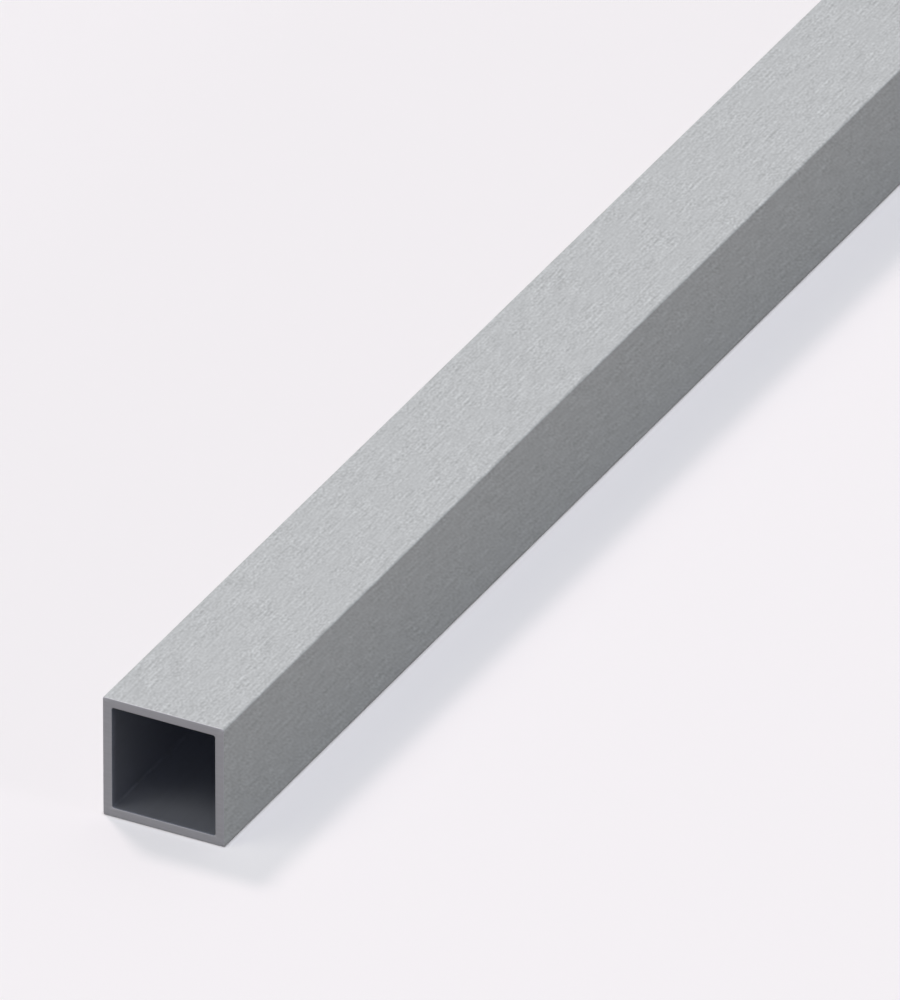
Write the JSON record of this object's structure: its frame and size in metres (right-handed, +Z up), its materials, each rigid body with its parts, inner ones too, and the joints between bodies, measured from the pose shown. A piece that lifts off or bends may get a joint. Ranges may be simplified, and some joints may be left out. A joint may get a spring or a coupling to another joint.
{
  "type": "square metal tube",
  "caption": "Straight square aluminium tube with a square bore right through it, sawn square at both ends, for frames, legs and plug-in connectors.",
  "frame": {"origin": "under the middle of the tube: centre of the bottom wall's underside, at the height of the surface that it lies on", "axes": "+X along the tube, +Y across it, +Z up from the wall that it lies on"},
  "size_m": [1, 0.02, 0.02],
  "materials": {
    "satin_aluminium": "satin anodised silver, fine grain along the length"
  },
  "bodies": {
    "root": {"square_tube": "satin_aluminium"}
  },
  "joints": []
}
